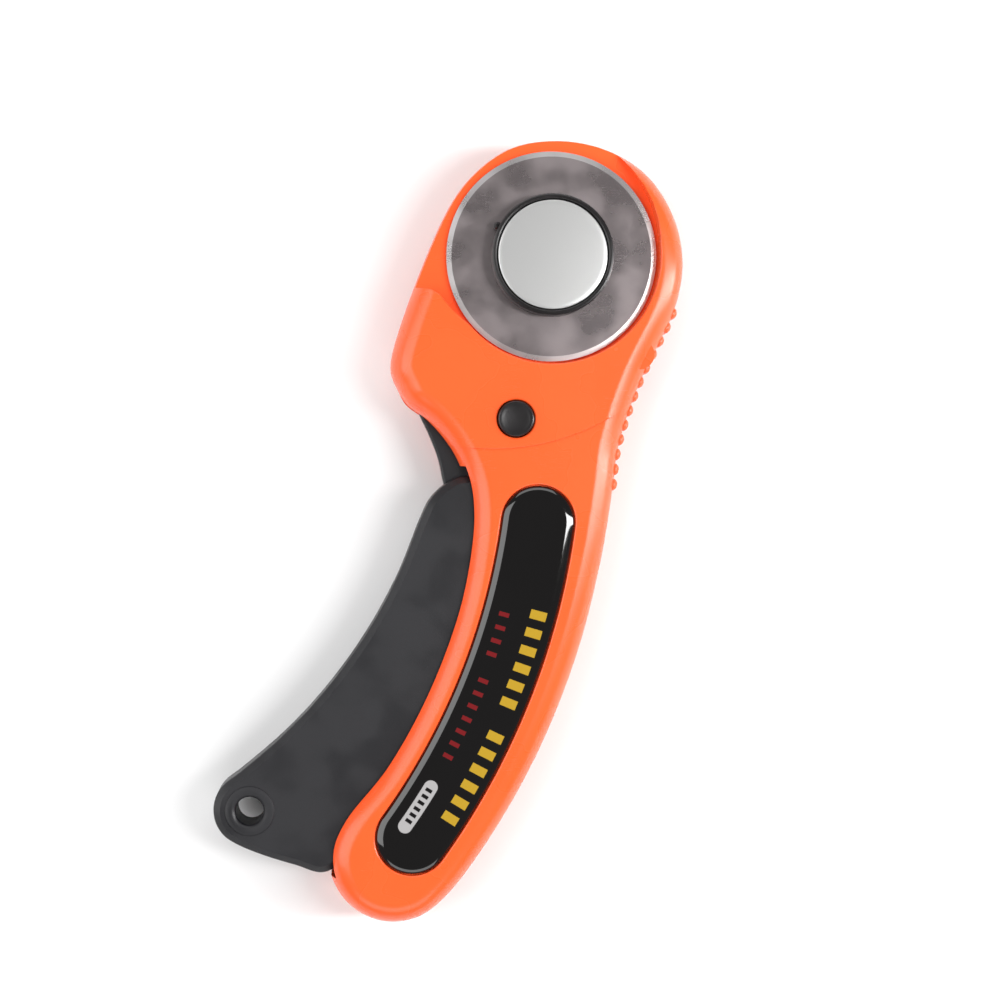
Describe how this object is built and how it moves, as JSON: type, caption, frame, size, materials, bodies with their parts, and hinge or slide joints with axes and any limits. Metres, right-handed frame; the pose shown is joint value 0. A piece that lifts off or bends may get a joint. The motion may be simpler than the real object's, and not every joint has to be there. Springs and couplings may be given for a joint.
{
  "type": "rotary cutter",
  "caption": "Rotary fabric cutter: orange two-part body with a curved handle, a black squeeze lever with a hook hole, a round clamped blade and a push-through lock.",
  "frame": {"origin": "where the blade's axis meets the surface that the cutter rests on, at the closed face of the nut", "axes": "+Z from the back to the side with the blade, +Y from the handle's end to the head, +X away from the lever"},
  "size_m": [0.1011, 0.1684, 0.0199],
  "materials": {
    "orange_body": "satin moulded ABS, soft broad highlights",
    "gloss_inlay": "domed high gloss over a black print",
    "black_lever": "fine matte mould texture",
    "black_trim": "semi-gloss moulded",
    "silver_label": "satin foil print",
    "blade_steel": "dark satin tool steel with a bright ground edge",
    "bright_steel": "plated, satin",
    "dark_screws": "zinc plated",
    "brass_bush": "turned"
  },
  "bodies": {
    "body": {"front_shell": "orange_body", "rear_shell": "orange_body", "front_inlay": "gloss_inlay", "pivot_pin": "bright_steel", "return_spring": "bright_steel", "shell_screw_head": "dark_screws", "shell_screw_upper": "dark_screws", "shell_screw_middle": "dark_screws", "shell_screw_end": "dark_screws"},
    "lever": {"trigger_lever": "black_lever", "pivot_bush": "brass_bush", "blade_knob": "black_trim", "knob_label": "silver_label", "blade_bolt": "bright_steel"},
    "blade": {"blade": "blade_steel"},
    "washer": {"spring_washer": "bright_steel"},
    "nut": {"rear_nut": "black_trim", "nut_insert": "bright_steel"},
    "lock": {"lock_button": "black_trim", "lock_button_cap": "black_trim"}
  },
  "joints": [
    {"name": "squeeze", "type": "hinge", "parent": "body", "child": "lever", "pos_m": [-0.02619, -0.0234, 0.0103], "axis": [0, 0, 1], "range_deg": [0, 10.4], "stiffness_Nm_per_rad": 2, "springref_deg": -8.59, "deforming": ["return_spring"]},
    {"name": "blade_spin", "type": "hinge", "parent": "lever", "child": "blade", "pos_m": [0, 0, 0.01535], "axis": [0, 0, 1], "continuous": true},
    {"name": "lock_slide", "type": "slide", "parent": "body", "child": "lock", "axis": [0, 0, -1], "range_m": [0, 0.0028]},
    {"name": "washer_travel", "type": "slide", "parent": "lever", "child": "washer", "axis": [0, 0, -1], "range_m": [0, 0.0016]},
    {"name": "nut_turn", "type": "hinge", "parent": "washer", "child": "nut", "pos_m": [0, 0, 0.003], "axis": [0, 0, -1], "range_deg": [0, 720]}
  ],
  "couplings": [
    {"joint": "washer_travel", "follows": "nut_turn", "m_per_rad": 0.0001273}
  ]
}
